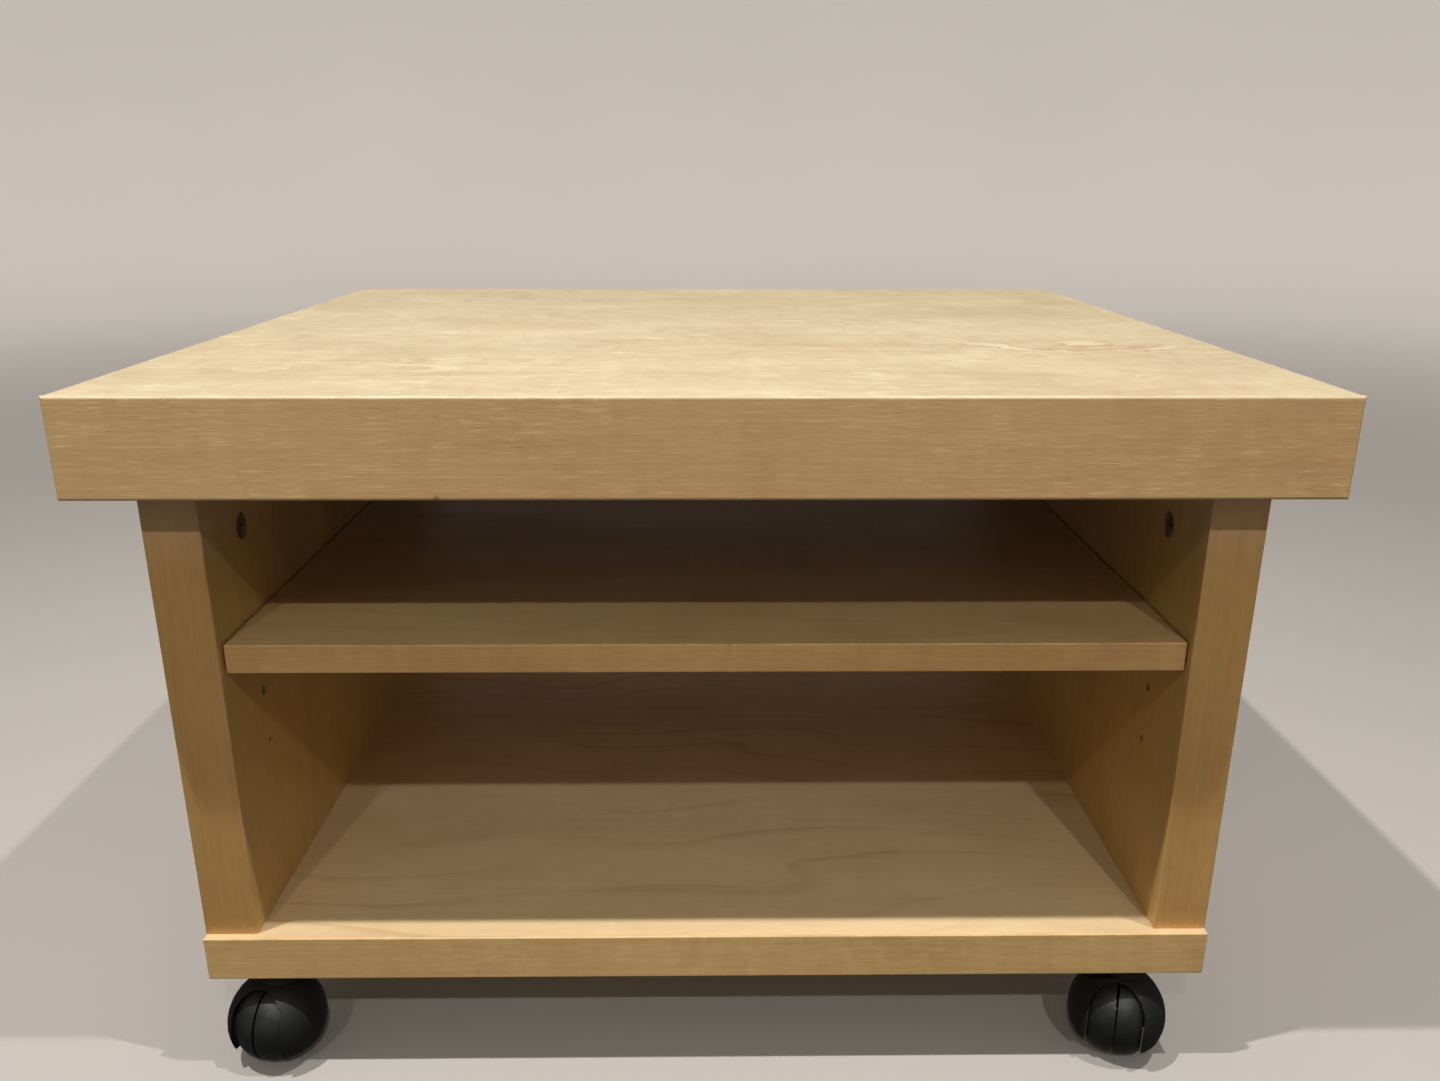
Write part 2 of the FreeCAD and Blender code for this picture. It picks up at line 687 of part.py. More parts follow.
def make_cam_bolts():
    """Bolts screwed up into the top, with a necked head that each cam grips."""
    thread = "Sizes.bolt_dia / 2"
    neck = "Sizes.bolt_neck_dia / 2"
    head = "Sizes.bolt_head_dia / 2"
    bevel = "Sizes.bolt_bevel"
    low = "-(Sizes.cam_drop + Sizes.bolt_head_dia / 2)"
    points = [
        ("0", low),
        ("0", "Sizes.bolt_depth"),
        (f"{thread} - {bevel}", "Sizes.bolt_depth"),
        (thread, f"Sizes.bolt_depth - {bevel}"),
        (thread, "0"),
        (head, "0"),
        (head, "-Sizes.bolt_flange"),
        (thread, "-Sizes.bolt_flange"),
        (thread, "-(Sizes.cam_drop - Sizes.bolt_hole_dia)"),
        (neck, "-(Sizes.cam_drop - Sizes.bolt_hole_dia)"),
        (neck, f"-(Sizes.cam_drop - 2 * {bevel})"),
        (head, f"-(Sizes.cam_drop - {bevel})"),
        (head, f"{low} + {bevel}"),
        (f"{head} - {bevel}", low),
    ]
    pieces = []
    for side, sign in SIDES.items():
        for end, way in ENDS.items():
            bolt = turned(f"cam_bolt_{side}_{end}", points)
            bind_place(bolt, signed(sign, SIDE_MIDDLE), signed(way, FITTING_Y), TOP_UNDER)
            pieces.append(bolt)
    group("cam_bolts", pieces)


def make_dowels():
    """Beech dowels between the panels and the boards above and below them."""
    radius = "Sizes.dowel_dia / 2"
    half = "Sizes.dowel_length / 2"
    small = f"{radius} - Sizes.dowel_chamfer"
    shoulder = f"{half} - Sizes.dowel_chamfer"
    points = [
        ("0", f"-{half}"),
        ("0", half),
        (small, half),
        (radius, shoulder),
        (radius, f"-({shoulder})"),
        (small, f"-{half}"),
    ]
    pieces = []
    for side, sign in SIDES.items():
        for end, way in ENDS.items():
            for place, level in (("upper", TOP_UNDER), ("lower", BOTTOM_TOP)):
                dowel = turned(f"dowel_{place}_{side}_{end}", points)
                bind_place(dowel, signed(sign, SIDE_MIDDLE), signed(way, DOWEL_Y), level)
                pieces.append(dowel)
    group("dowels", pieces)


def screw_points(dia, length, head_dia, head_height):
    """A plain-shank screw with a countersunk head at height 0, its point upward."""
    return [
        ("0", "0"),
        ("0", length),
        (f"{dia} / 2", f"{length} - {dia}"),
        (f"{dia} / 2", head_height),
        (f"{head_dia} / 2", "Sizes.screw_head_edge"),
        (f"{head_dia} / 2", "0"),
    ]


def make_bottom_screws():
    """Screws driven up through the bottom board into the side panels."""
    points = screw_points("Sizes.screw_dia", "Sizes.screw_length",
                          "Sizes.screw_head_dia", "Sizes.screw_head_height")
    pieces = []
    for side, sign in SIDES.items():
        for end, way in ENDS.items():
            tag = f"bottom_screw_{side}_{end}"
            screw = turned(tag, points)
            socket = new_sketch(screw, f"{tag}_socket", "XY_Plane")
            hexagon(socket, "Sizes.hex_key")
            pocket(screw, socket, "Sizes.hex_depth", away=True)
            bind_place(screw, signed(sign, SIDE_MIDDLE), signed(way, SCREW_Y),
                       f"{BOTTOM_UNDER} + Sizes.screw_recess")
            pieces.append(screw)
    group("bottom_screws", pieces)


def hexagon(sketch, across_flats):
    """A regular hexagon about the sketch's origin."""
    corner = f"({across_flats}) / sqrt(3)"
    points = []
    for number in range(6):
        angle = 60 * number
        points.append((f"{corner} * {math.cos(math.radians(angle)):.6f}",
                       f"{corner} * {math.sin(math.radians(angle)):.6f}"))
    outline(sketch, points)


def make_shelf_supports():
    """L-shaped supports: a pin in the panel, a plate beside the shelf's end, a tongue under it."""
    pieces = []
    for side, sign in SIDES.items():
        for end, way in ENDS.items():
            tag = f"support_{side}_{end}"
            y = signed(way, FITTING_Y)
            across = (f"{y} - Sizes.support_width / 2", f"{y} + Sizes.support_width / 2")
            plate_far = f"{SIDE_INNER} - Sizes.support_plate"
            tongue_far = f"{SIDE_INNER} - Sizes.support_reach"
            tongue_low = f"{SHELF_UNDER} - Sizes.support_tongue"
            plate = block(f"{tag}_plate", sorted_span(sign, plate_far, SIDE_INNER), across,
                          (tongue_low, f"{PIN_LEVEL} + Sizes.support_rise"))
            tongue = block(f"{tag}_tongue", sorted_span(sign, tongue_far, SIDE_INNER), across,
                           (tongue_low, SHELF_UNDER))
            shank = rod(f"{tag}_shank", "Sizes.pin_dia", "Sizes.pin_length + Sizes.support_plate / 2",
                        signed(sign, f"({SIDE_INNER} - Sizes.support_plate / 2)"), y, PIN_LEVEL,
                        outward(sign))
            pieces.append(joined(f"{tag}_piece", [plate, tongue, shank]))
    group("shelf_supports", pieces)


# ---- casters: plate on the bottom board, domed hood on a kingpin, two domed wheels on one axle --


def corner_place(sign, way):
    """The point on the floor under one swivel axis."""
    return FreeCAD.Vector(value_of(signed(sign, SWIVEL_X)), value_of(signed(way, SWIVEL_Y)), 0)


def stand(item, sign, way, turn=0):
    """Puts a caster piece, drawn about the swivel axis at floor level, under its corner."""
    item.Placement = FreeCAD.Placement(
        corner_place(sign, way), FreeCAD.Rotation(FreeCAD.Vector(0, 0, 1), turn))
    bind_place(item, signed(sign, SWIVEL_X), signed(way, SWIVEL_Y), "0")
    return item


def make_plate(corner, sign, way):
    """A square steel plate with rounded corners, four screw holes and a bearing collar below."""
    body = new_body(f"{corner}_plate_body")
    under = "(Sizes.caster_height - Sizes.plate_thick)"
    half = "Sizes.plate_size / 2"
    square = new_sketch(body, f"{corner}_plate_square", "XY_Plane")
    outline(square, [(f"-{half}", f"-{half}"), (f"-{half}", half), (half, half), (half, f"-{half}")])
    square.AttachmentOffset = FreeCAD.Placement(FreeCAD.Vector(0, 0, value_of(under)), FreeCAD.Rotation())
    bind(square, **{"AttachmentOffset.Base.z": under})
    flat = pad(body, square, "Sizes.plate_thick")
    doc.recompute()
    upright = [
        f"Edge{number}" for number, edge in enumerate(flat.Shape.Edges, start=1)
        if abs(edge.Length - size["plate_thick"]) < TINY
    ]
    corners = body.newObject("PartDesign::Fillet", f"{corner}_plate_corners")
    corners.Base = (flat, upright)
    bind(corners, Radius="Sizes.plate_corner")
    doc.recompute()
    collar = new_sketch(body, f"{corner}_collar_ring", "XY_Plane")
    ring(collar, "0", "0", "Sizes.collar_dia")
    bind(collar, **{"AttachmentOffset.Base.z": f"{under} - Sizes.collar_height"})
    pad(body, collar, "Sizes.collar_height + Sizes.plate_thick / 2")
    holes = new_sketch(body, f"{corner}_plate_holes", "XY_Plane")
    ring(holes, "0", "0", "Sizes.kingpin_dia + 2 * Sizes.running_gap")
    for step_x in (-1, 1):
        for step_y in (-1, 1):
            ring(holes, f"{step_x} * Sizes.plate_hole_pitch / 2", f"{step_y} * Sizes.plate_hole_pitch / 2",
                 "Sizes.plate_hole_dia")
    pocket(body, holes, "Sizes.caster_height + Sizes.plate_thick", away=True)
    seat = new_sketch(body, f"{corner}_kingpin_seat", "XY_Plane")
    ring(seat, "0", "0", "Sizes.kingpin_flange_dia + 2 * Sizes.running_gap")
    bind(seat, **{"AttachmentOffset.Base.z": "Sizes.caster_height"})
    pocket(body, seat, "Sizes.kingpin_flange_height + Sizes.running_gap")
    keep(stand(body, sign, way), f"{corner}_caster_plate")


def make_kingpins():
    """Short pins riveted flush into the plates; the hoods turn on them."""
    pin = "Sizes.kingpin_dia / 2"
    flange = "Sizes.kingpin_flange_dia / 2"
    top = "Sizes.caster_height"
    points = [
        ("0", "Sizes.kingpin_end"),
        ("0", top),
        (flange, top),
        (flange, f"{top} - Sizes.kingpin_flange_height"),
        (pin, f"{top} - Sizes.kingpin_flange_height"),
        (pin, "Sizes.kingpin_end + Sizes.kingpin_bevel"),
        (f"{pin} - Sizes.kingpin_bevel", "Sizes.kingpin_end"),
    ]
    pieces = []
    for side, sign in SIDES.items():
        for end, way in ENDS.items():
            pieces.append(stand(turned(f"kingpin_{end}_{side}", points), sign, way))
    group("caster_kingpins", pieces)


def make_caster_screws():
    """Pan-head screws that hold the plates to the bottom board, points upward."""
    shank = "Sizes.mount_screw_dia / 2"
    head = "Sizes.mount_screw_head_dia / 2"
    low = "-Sizes.mount_screw_head_height"
    length = "Sizes.mount_screw_length"
    points = [
        ("0", low),
        ("0", length),
        (shank, f"{length} - Sizes.mount_screw_point"),
        (shank, "0"),
        (head, "0"),
        (head, "-Sizes.mount_screw_head_edge"),
        (f"{head} - Sizes.mount_screw_head_bevel", low),
    ]
    pieces = []
    plate_under = "Sizes.caster_height - Sizes.plate_thick"
    long_half = "Sizes.cross_slot_length / 2"
    short_half = "Sizes.cross_slot_width / 2"
    for side, sign in SIDES.items():
        for end, way in ENDS.items():
            for number, (x, y) in enumerate(plate_holes(sign, way), start=1):
                tag = f"caster_screw_{end}_{side}_{number}"
                screw = turned(tag, points)
                for count, (wide, tall) in enumerate(
                        ((long_half, short_half), (short_half, long_half)), start=1):
                    slot = new_sketch(screw, f"{tag}_slot_{count}", "XY_Plane")
                    bind(slot, **{"AttachmentOffset.Base.z": low})
                    outline(slot, [(f"-{wide}", f"-{tall}"), (f"-{wide}", tall), (wide, tall),
                                   (wide, f"-{tall}")])
                    pocket(screw, slot, "Sizes.cross_slot_depth", away=True)
                bind_place(screw, x, y, plate_under)
                pieces.append(screw)
    group("caster_screws", pieces)


def make_hood(corner, sign, way, turn):
    """A domed shell over the wheels, with a neck for the kingpin and bosses for the axle."""
    centre_y = "-Sizes.caster_trail"
    centre_z = "Sizes.wheel_dia / 2"
    inner_radius = "Sizes.hood_inner_dia / 2"
    neck_top = "(Sizes.caster_height - Sizes.plate_thick - Sizes.collar_height - Sizes.face_gap)"
    tag = f"{corner}_hood"

    dome = doc.addObject("Part::Sphere", f"{tag}_dome")
    bind(dome, Radius="Sizes.hood_outer_dia / 2")
    bind_place(dome, "0", centre_y, centre_z)
    neck = doc.addObject("Part::Cone", f"{tag}_neck")
    bind(neck, Radius1="Sizes.hood_shoulder_dia / 2", Radius2="Sizes.hood_neck_dia / 2",
         Height=f"{neck_top} - {centre_z} - Sizes.hood_shoulder_rise")
    bind_place(neck, "0", f"{centre_y} + Sizes.hood_shoulder_shift",
               f"{centre_z} + Sizes.hood_shoulder_rise")
    stem = rod(f"{tag}_stem", "Sizes.hood_neck_dia", f"{neck_top} - {centre_z}", "0", "0", centre_z)
    outer = joined(f"{tag}_outer", [dome, neck, stem])

    hollow = doc.addObject("Part::Sphere", f"{tag}_hollow")
    bind(hollow, Radius=inner_radius)
    bind_place(hollow, "0", centre_y, centre_z)
    shell = drilled(f"{tag}_shell", outer, [hollow])

    bosses = []
    boss_face = "(Sizes.wheel_half_width + Sizes.face_gap)"
    boss_length = f"Sizes.hood_outer_dia / 2 - Sizes.hood_boss_wall - {boss_face}"
    for side, direction in SIDES.items():
        bosses.append(rod(f"{tag}_boss_{side}", "Sizes.hood_boss_dia", boss_length,
                          signed(direction, boss_face), centre_y, centre_z, outward(direction)))
    solid = joined(f"{tag}_solid", [shell] + bosses)

    slot_half = "Sizes.hood_slot_half_width"
    reach = "Sizes.hood_outer_dia"
    low = block(f"{tag}_under_cut", (f"-{reach}", reach), (f"{centre_y} - {reach}", f"{centre_y} + {reach}"),
                (f"{centre_z} - {reach}", "Sizes.hood_bottom"))
    slot_box = block(f"{tag}_slot_box", (f"-{slot_half}", slot_half),
                     (f"{centre_y} - {reach}", centre_y),
                     (f"{centre_z} - {reach}", f"{centre_z} + {slot_level()} - {slot_half}"))
    arch = rod(f"{tag}_slot_arch", f"2 * {slot_half}", reach,
               "0", centre_y, f"{centre_z} + {slot_level()} - {slot_half}",
               FreeCAD.Rotation(FreeCAD.Vector(1, 0, 0), 90))
    hole_half = "(Sizes.hood_outer_dia / 2 - Sizes.axle_end_wall)"
    axle_hole = rod(f"{tag}_axle_hole", "Sizes.axle_dia + 2 * Sizes.axle_fit", f"2 * {hole_half}",
                    f"-{hole_half}", centre_y, centre_z, ALONG_X)
    king_hole = rod(f"{tag}_king_hole", "Sizes.kingpin_dia + 2 * Sizes.running_gap",
                    f"{neck_top} - Sizes.kingpin_end + Sizes.kingpin_hole_spare",
                    "0", "0", "Sizes.kingpin_end - Sizes.kingpin_hole_spare")
    hood = drilled(f"{tag}_piece", solid, [low, slot_box, arch, axle_hole, king_hole])
    keep(stand(hood, sign, way, turn), f"{corner}_caster_hood")


def slot_level():
    """How far the crown of the front slot stands above the axle, on the outer dome."""
    return f"Sizes.hood_outer_dia / 2 * {math.sin(math.radians(size['hood_slot_top'])):.6f}"


def make_axle(corner, sign, way, turn):
    """A plain steel axle held in the hood's two bosses."""
    half = "(Sizes.hood_outer_dia / 2 - Sizes.axle_end_wall - Sizes.axle_end_gap)"
    radius = "Sizes.axle_dia / 2"
    bevel = "Sizes.axle_end_chamfer"
    body = new_body(f"{corner}_axle_body")
    sketch = new_sketch(body, f"{corner}_axle_profile", "XZ_Plane")
    outline(sketch, [
        (f"-{half}", "0"),
        (f"-{half}", f"{radius} - {bevel}"),
        (f"-{half} + {bevel}", radius),
        (f"{half} - {bevel}", radius),
        (half, f"{radius} - {bevel}"),
        (half, "0"),
    ])
    revolve(body, sketch, "H_Axis")
    keep(at_wheel(body, sign, way, turn), f"{corner}_caster_axle")


def make_wheel(corner, side, direction, sign, way, turn):
    """One domed wheel of the pair, with a raised hub and rim on its outer face."""
    radius = "Sizes.wheel_dia / 2"
    bore = "(Sizes.axle_dia / 2 + Sizes.running_gap)"
    near = "(Sizes.wheel_slit / 2)"
    far = "Sizes.wheel_half_width"
    hub = "Sizes.wheel_hub_dia / 2"
    rim = f"sqrt(({radius}) ^ 2 - ({far} - {near}) ^ 2)"
    floor = f"{far} - Sizes.wheel_face_recess"
    body = new_body(f"{corner}_wheel_{side}_body")
    sketch = new_sketch(body, f"{corner}_wheel_{side}_profile", "XZ_Plane")
    outline(sketch, [
        (near, bore),
        (near, radius),
        (far, rim),
        (far, f"{rim} - Sizes.wheel_rim_width"),
        (floor, f"{rim} - Sizes.wheel_rim_width - Sizes.wheel_face_slope"),
        (floor, f"{hub} + Sizes.wheel_face_slope"),
        (far, hub),
        (far, bore),
    ], rounds={1: radius})
    revolve(body, sketch, "H_Axis")
    mirror_turn = 0 if direction > 0 else 180
    keep(at_wheel(body, sign, way, turn, mirror_turn), f"{corner}_wheel_{side}")


def at_wheel(item, sign, way, turn, extra=0):
    """Puts a piece, drawn about the axle's middle, on its caster's axle."""
    swing = FreeCAD.Rotation(FreeCAD.Vector(0, 0, 1), turn)
    offset = swing.multVec(FreeCAD.Vector(0, -size["caster_trail"], size["wheel_dia"] / 2))
    half_turn = FreeCAD.Rotation(FreeCAD.Vector(0, 0, 1), turn + extra)
    item.Placement = FreeCAD.Placement(corner_place(sign, way) + offset, half_turn)
    across = f"Sizes.caster_trail * {math.sin(math.radians(turn)):.6f}"
    along = f"-Sizes.caster_trail * {math.cos(math.radians(turn)):.6f}"
    bind_place(item, f"{signed(sign, SWIVEL_X)} + {across}",
               f"{signed(way, SWIVEL_Y)} + {along}", "Sizes.wheel_dia / 2")
    return item


def make_casters():
    for (end, side), turn in CASTER_TURN.items():
        corner = f"{end}_{side}"
        sign = SIDES[side]
        way = ENDS[end]
        make_plate(corner, sign, way)
        make_hood(corner, sign, way, turn)
        make_axle(corner, sign, way, turn)
        for wheel_side, direction in SIDES.items():
            make_wheel(corner, wheel_side, direction, sign, way, turn)


# ---- build, check and write --------------------------------------------------------------------


def check_all():
    """Stops if any object failed or any sub-part has no valid shape."""
    doc.recompute()
    for item in doc.Objects:
        if "Invalid" in item.State or "Error" in item.State:
            raise RuntimeError(f"{item.Name} ({item.Label}) failed: {item.State}")
    for item in nodes:
        if item.Shape.isNull() or not item.Shape.isValid():
            raise RuntimeError(f"{item.Label} has no valid shape")


def write_all():
    os.makedirs("parts", exist_ok=True)
    for item in nodes:
        item.Shape.exportStep(f"parts/{item.Label}.step")
        box = item.Shape.BoundBox
        print(f"{item.Label:34s} solids {len(item.Shape.Solids):2d}  volume {item.Shape.Volume:12.1f}  "
              f"z {box.ZMin:7.2f} to {box.ZMax:7.2f}")


make_top()
make_sides()
make_bottom()
make_shelf()
make_cam_locks()
make_cam_bolts()
make_dowels()
make_bottom_screws()
make_shelf_supports()
make_casters()
make_kingpins()
make_caster_screws()
check_all()
write_all()
print(len(nodes), "nodes")
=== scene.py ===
import math

import bmesh
import bpy
from mathutils import Matrix, Vector


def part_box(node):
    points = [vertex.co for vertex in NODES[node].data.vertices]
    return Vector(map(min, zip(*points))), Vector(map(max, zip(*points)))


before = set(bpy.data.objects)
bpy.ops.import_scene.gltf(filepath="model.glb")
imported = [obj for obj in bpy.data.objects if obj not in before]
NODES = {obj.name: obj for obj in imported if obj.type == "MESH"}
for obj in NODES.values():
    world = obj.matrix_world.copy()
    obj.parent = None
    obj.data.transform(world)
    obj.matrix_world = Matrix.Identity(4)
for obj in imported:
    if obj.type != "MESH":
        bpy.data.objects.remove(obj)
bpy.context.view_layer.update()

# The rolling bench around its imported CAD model: metres, +Z up, front towards -Y.

SCENE = bpy.context.scene
SIDES = ("left", "right")
ENDS = ("front", "back")
CORNERS = [f"{end}_{side}" for end in ENDS for side in SIDES]


# ---- shader graphs ---------------------------------------------------------------------------

# Where a Mix node keeps its two colours among its inputs, and the mixed one among its outputs.
MIX_FIRST = 6
MIX_SECOND = 7
MIX_RESULT = 2


class Graph:
    """Builds one material's node tree. Inputs may be sockets, numbers or tuples."""

    def __init__(self, name):
        self.material = bpy.data.materials.new(name)
        self.material.use_nodes = True
        self.tree = self.material.node_tree
        self.shader = self.tree.nodes["Principled BSDF"]
        self.place = self.add("ShaderNodeTexCoord").outputs["Object"]

    def add(self, kind, **settings):
        node = self.tree.nodes.new(kind)
        for key, value in settings.items():
            setattr(node, key, value)
        return node

    def feed(self, socket, value):
        """Links a socket to the input, or sets the input to a value. None leaves it as it is."""
        if isinstance(value, bpy.types.NodeSocket):
            self.tree.links.new(value, socket)
        elif value is not None:
            socket.default_value = value

    def math(self, operation, first, second=None, third=None, clamp=False):
        node = self.add("ShaderNodeMath", operation=operation, use_clamp=clamp)
        for socket, value in zip(node.inputs, (first, second, third)):
            self.feed(socket, value)
        return node.outputs[0]

    def vector(self, operation, first, second=None):
        node = self.add("ShaderNodeVectorMath", operation=operation)
        for socket, value in zip(node.inputs, (first, second)):
            self.feed(socket, value)
        return node.outputs["Value"] if operation in ("LENGTH", "DISTANCE") else node.outputs["Vector"]

    def parts(self, vector):
        """The X, Y and Z of a vector."""
        node = self.add("ShaderNodeSeparateXYZ")
        self.feed(node.inputs[0], vector)
        return node.outputs

    def join(self, x, y, z):
        node = self.add("ShaderNodeCombineXYZ")
        for socket, value in zip(node.inputs, (x, y, z)):
            self.feed(socket, value)
        return node.outputs[0]

    def noise(self, vector, scale=1.0, detail=2.0, roughness=0.5, distortion=0.0):
        node = self.add("ShaderNodeTexNoise")
        self.feed(node.inputs["Vector"], vector)
        node.inputs["Scale"].default_value = scale
        node.inputs["Detail"].default_value = detail
        node.inputs["Roughness"].default_value = roughness
        node.inputs["Distortion"].default_value = distortion
        return node.outputs["Fac"]

    def cells(self, vector, scale):
        """One random colour for each cell."""
        node = self.add("ShaderNodeTexVoronoi")
        self.feed(node.inputs["Vector"], vector)
        node.inputs["Scale"].default_value = scale
        return node.outputs["Color"]

    def span(self, value, low, high, out_low=0.0, out_high=1.0, smooth=False):
        """Maps low..high to out_low..out_high, held at the ends."""
        node = self.add("ShaderNodeMapRange", interpolation_type="SMOOTHSTEP" if smooth else "LINEAR")
        for socket, amount in zip(node.inputs, (value, low, high, out_low, out_high)):
            self.feed(socket, amount)
        return node.outputs[0]

    def blend(self, factor, first, second):
        """The first colour at a factor of 0, the second at 1."""
        node = self.add("ShaderNodeMix", data_type="RGBA")
        self.feed(node.inputs["Factor"], factor)
        self.feed(node.inputs[MIX_FIRST], first)
        self.feed(node.inputs[MIX_SECOND], second)
        return node.outputs[MIX_RESULT]

    def bump(self, height, distance, strength=1.0, under=None):
        node = self.add("ShaderNodeBump")
        node.inputs["Strength"].default_value = strength
        node.inputs["Distance"].default_value = distance
        self.feed(node.inputs["Height"], height)
        self.feed(node.inputs["Normal"], under)
        return node.outputs["Normal"]

    def finish(self, color, roughness, normal, **others):
        """Feeds the shader and hands back the material. Other inputs go by their names."""
        self.feed(self.shader.inputs["Base Color"], color)
        self.feed(self.shader.inputs["Roughness"], roughness)
        self.feed(self.shader.inputs["Normal"], normal)
        for key, value in others.items():
            self.feed(self.shader.inputs[key.replace("_", " ")], value)
        return self.material


def rgb(red, green, blue):
    """A colour from its 0 to 255 display values."""

    def linear(value):
        value /= 255
        return value / 12.92 if value <= 0.04045 else ((value + 0.055) / 1.055) ** 2.4

    return (linear(red), linear(green), linear(blue), 1.0)


def shade(color, amounts):
    """A colour with its red, green and blue made lighter or darker."""
    return tuple(part * amount for part, amount in zip(color, amounts)) + (1.0,)


# ---- wood ------------------------------------------------------------------------------------

# Widths across the grain, in metres: from one growth-ring line to the next, of one fibre, and of
# one pore or fleck.
RING_STEP = 0.030
FIBRE_STEP = 0.0011
FLECK_STEP = 0.0008

# Noise patterns in the wood: features a metre along the grain and across it, levels of detail,
# roughness from level to level, and distortion.
RING_SWAY = (2.6, 6.5, 2.0, 0.42, 0.5)
RING_FADE = (5.0, 11.0, 2.0, 0.5, 0.0)
FINE_FIBRE = (11.0, 1 / FIBRE_STEP, 3.0, 0.6, 0.0)
COARSE_FIBRE = (26.0, 0.35 / FIBRE_STEP, 2.0, 0.5, 0.0)
LONG_STREAK = (2.4, 70.0, 3.0, 0.55, 0.3)
CLOUD = (6.0, 13.0, 3.0, 0.5, 0.5)
SILKY_RIPPLE = (70.0, 30.0, 3.0, 0.6, 1.2)
# GLINT makes painted glints: lighter streaks in the colour that stand in for glints of light off the
# figure.
GLINT = (38.0, 190.0, 3.0, 0.62, 0.6)
PATCH = (9.0, 12.0, 2.0, 0.5, 0.0)
FLECK = (70.0, 1 / FLECK_STEP, 2.0, 0.5, 0.0)
PORE = (110.0, 1 / FLECK_STEP, 2.0, 0.5, 0.0)

# How far the patterns of the next board are moved, in metres along, across and through the grain,
# and the pores from the flecks.
SEED_SHIFT = (1.37, 0.71, 0.43)
PORE_SHIFT = (3.1, 5.3, 1.7)

# Curly figure: features a metre in X, Y and Z, and how much narrower a spot is from front to back.
CURL_FEATURES = (12.0, 32.0, 12.0)
CURL_SPOT = (1.0, 2.2, 1.0)

# Wear, in metres from an edge, the features a metre that break it up, and how strongly the worn
# lacquer, the grime and a mark show.
WORN_FROM = 0.0002
WORN_TO = 0.0012
GRIME_TO = 0.0008
WORN_PATCHES = 90.0
GRIME_PATCHES = 23.0
WORN_SHOWS = 0.16
GRIME_SHOWS = 0.35
MARK_SHOWS = 0.5

# How much lighter and darker the wood goes in red, green and blue.
LIGHTER = (1.27, 1.34, 1.42)
DARKER = (0.74, 0.64, 0.54)
WORN_WOOD = rgb(250, 234, 202)
GRIME = rgb(84, 58, 32)

# Roughness of the cleanest and of the most smeared lacquer, the smears' features a metre in X, Y
# and Z, and the relief of the grain in metres.
CLEAN_LACQUER = 0.37
SMEARED_LACQUER = 0.50
SMEARS = (11.0, 14.0, 11.0)
GRAIN_RELIEF = 0.00005


def along_grain(graph, grain, seed):
    """Coordinates whose X runs along the grain, Y across it in the face and Z through it."""
    x, y, z = graph.parts(graph.place)
    order = {"x": (x, y, z), "y": (y, x, z), "z": (z, x, y)}[grain]
    return graph.vector("ADD", graph.join(*order), tuple(seed * part for part in SEED_SHIFT))


def grain_noise(graph, place, pattern):
    """One of the wood's noise patterns, from the grain coordinates."""
    along, across, detail, roughness, distortion = pattern
    stretched = graph.vector("MULTIPLY", place, (along, across, across))
    return graph.noise(stretched, 1.0, detail, roughness, distortion)


def edge_distance(graph, node_name):
    """Distance in metres from a box-shaped node's nearest edge."""
    low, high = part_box(node_name)
    middle = (low + high) / 2
    half = (high - low) / 2
    offset = graph.vector("ABSOLUTE", graph.vector("SUBTRACT", graph.place, tuple(middle)))
    a, b, c = graph.parts(graph.vector("SUBTRACT", tuple(half), offset))
    smaller = graph.math("MINIMUM", a, b)
    larger = graph.math("MAXIMUM", a, b)
    return graph.math("MAXIMUM", smaller, graph.math("MINIMUM", larger, c))


def ring_lines(graph, place, wave):
    """Thin wandering lines where growth rings meet the face, sharp on one side and soft on the other."""
    sway = grain_noise(graph, place, RING_SWAY)
    across = graph.parts(place)[1]
    field = graph.math("MULTIPLY_ADD", sway, wave, graph.math("MULTIPLY", across, 1 / RING_STEP))
    phase = graph.math("FRACT", field)
    rise = graph.span(phase, 0.70, 0.95, smooth=True)
    fall = graph.span(phase, 1.0, 0.96, smooth=True)
    fade = graph.span(grain_noise(graph, place, RING_FADE), 0.36, 0.62, 0.15, 1.0)
    return graph.math("MULTIPLY", graph.math("MULTIPLY", graph.math("POWER", rise, 2.0), fall), fade)


def curly_figure(graph, curls):
    """Short pale licks with tan rims, which fade out around each spot."""
    wild = graph.noise(graph.vector("MULTIPLY", graph.place, CURL_FEATURES), 1.0, 3.0, 0.6, 1.8)
    lick = graph.math("MULTIPLY_ADD", graph.span(wild, 0.54, 0.60), -1.7, graph.span(wild, 0.46, 0.55))
    total = 0.0
    for spot, reach, strength in curls:
        offset = graph.vector("MULTIPLY", graph.vector("SUBTRACT", graph.place, spot), CURL_SPOT)
        near = graph.span(graph.vector("LENGTH", offset), reach, reach * 0.25, 0.0, strength, smooth=True)
        total = graph.math("MULTIPLY_ADD", near, lick, total)
    return total


def edge_wear(graph, node_name, color, marks):
    """The colour with worn lacquer and a darker glue line along the edges, broken up so that they
    come and go, and with its marks. Also says where the lacquer is worn."""
    edge = edge_distance(graph, node_name)
    broken = graph.span(graph.noise(graph.place, WORN_PATCHES, 3.0, 0.6), 0.46, 0.66)
    worn = graph.math("MULTIPLY", graph.span(edge, WORN_TO, WORN_FROM), broken)
    color = graph.blend(graph.math("MULTIPLY", worn, WORN_SHOWS), color, WORN_WOOD)
    patchy = graph.span(graph.noise(graph.place, GRIME_PATCHES, 2.0), 0.50, 0.72, 0.0, GRIME_SHOWS)
    grime = graph.math("MULTIPLY", graph.span(edge, GRIME_TO, 0.0), patchy)
    for spot, radius in marks:
        near = graph.span(graph.vector("DISTANCE", graph.place, spot), radius, radius * 0.3, smooth=True)
        grime = graph.math("MAXIMUM", grime, graph.math("MULTIPLY", near, MARK_SHOWS))
    return graph.blend(grime, color, GRIME), worn


